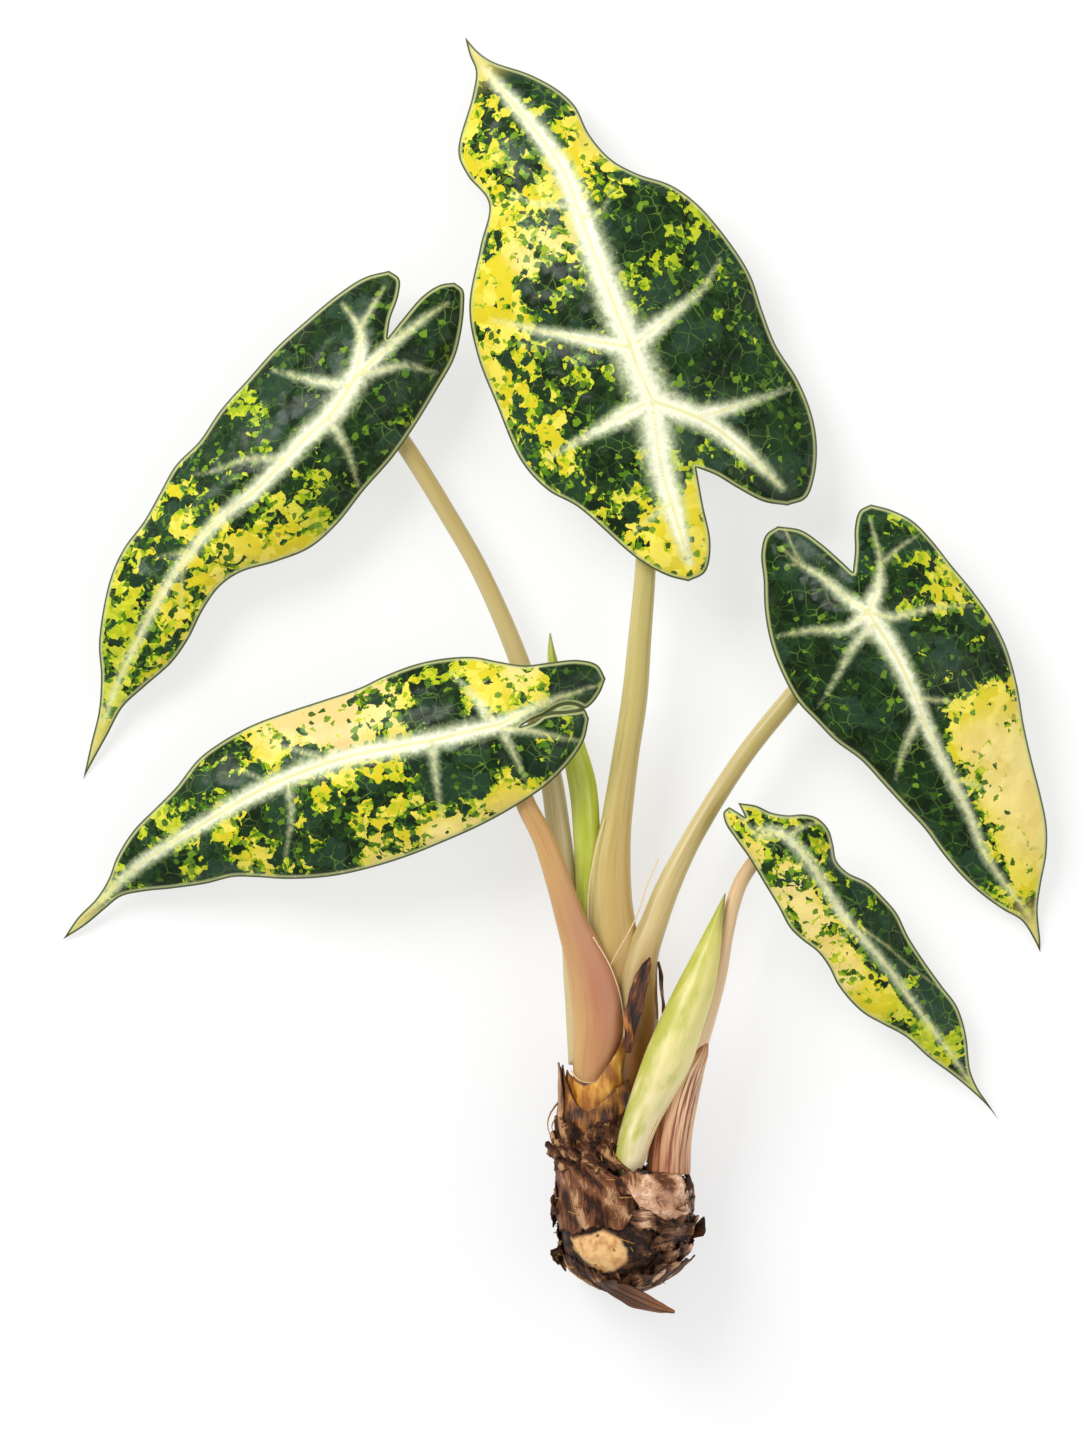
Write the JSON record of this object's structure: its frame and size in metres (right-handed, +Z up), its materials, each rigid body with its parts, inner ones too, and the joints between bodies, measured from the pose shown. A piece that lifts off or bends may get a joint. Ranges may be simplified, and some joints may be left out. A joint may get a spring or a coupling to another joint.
{
  "type": "bare-root alocasia plant",
  "caption": "Bare-root variegated alocasia plant: a scaly bulb with arrow-shaped mottled leaves, a rolled new leaf and a side shoot, lying on its back.",
  "frame": {"origin": "on the table, under the middle of the plant's bounding box", "axes": "+Y from the bulb towards the top leaf, +Z up off the table out of the leaf faces, +X to the right of both"},
  "size_m": [0.2973, 0.3845, 0.042],
  "materials": {
    "leaf_blade": "green blade mottled with lime and yellow, pale veins, soft sheen",
    "petiole": "pale olive-cream living stalk, satin",
    "pink_petiole": "pink-tan living stalk and sheath, satin",
    "new_leaf": "yellow-green rolled young leaf, satin",
    "green_shoot": "pale green sheath shading to cream, satin",
    "dry_sheath": "dry striped sheath, matt",
    "amber_sheath": "thin amber sheath, slightly glossy",
    "brown_scale": "dry brown scale, matt",
    "bulb_scale": "dry fibrous scale, matt",
    "bulb_flesh": "bare cream corm flesh, matt"
  },
  "bodies": {
    "root": {"blade_top": "leaf_blade", "blade_upper_left": "leaf_blade", "blade_lower_left": "leaf_blade", "blade_right": "leaf_blade", "blade_small": "leaf_blade", "petiole_top": "petiole", "petiole_upper_left": "petiole", "petiole_right": "petiole", "petiole_small": "petiole", "petiole_lower_left": "pink_petiole", "rolled_leaf": "new_leaf", "shoot_cataphyll": "green_shoot", "shoot_dry_sheath": "dry_sheath", "torn_bract_front": "brown_scale", "torn_bract_side": "brown_scale", "stem_neck": "amber_sheath", "stem_amber_sheath": "amber_sheath", "stem_brown_sheath": "brown_scale", "stem_folded_scale": "brown_scale", "stem_back_scale": "brown_scale", "bulb": "bulb_flesh", "foot_stub": "brown_scale", "bulb_scale_left": "bulb_scale", "bulb_scale_left_edge": "bulb_scale", "bulb_scale_right": "bulb_scale", "bulb_scale_band": "bulb_scale", "bulb_scale_lower_right": "bulb_scale", "bulb_scale_lower_left": "bulb_scale", "bulb_scale_back_upper": "bulb_scale", "bulb_scale_back_lower": "bulb_scale"}
  },
  "joints": []
}
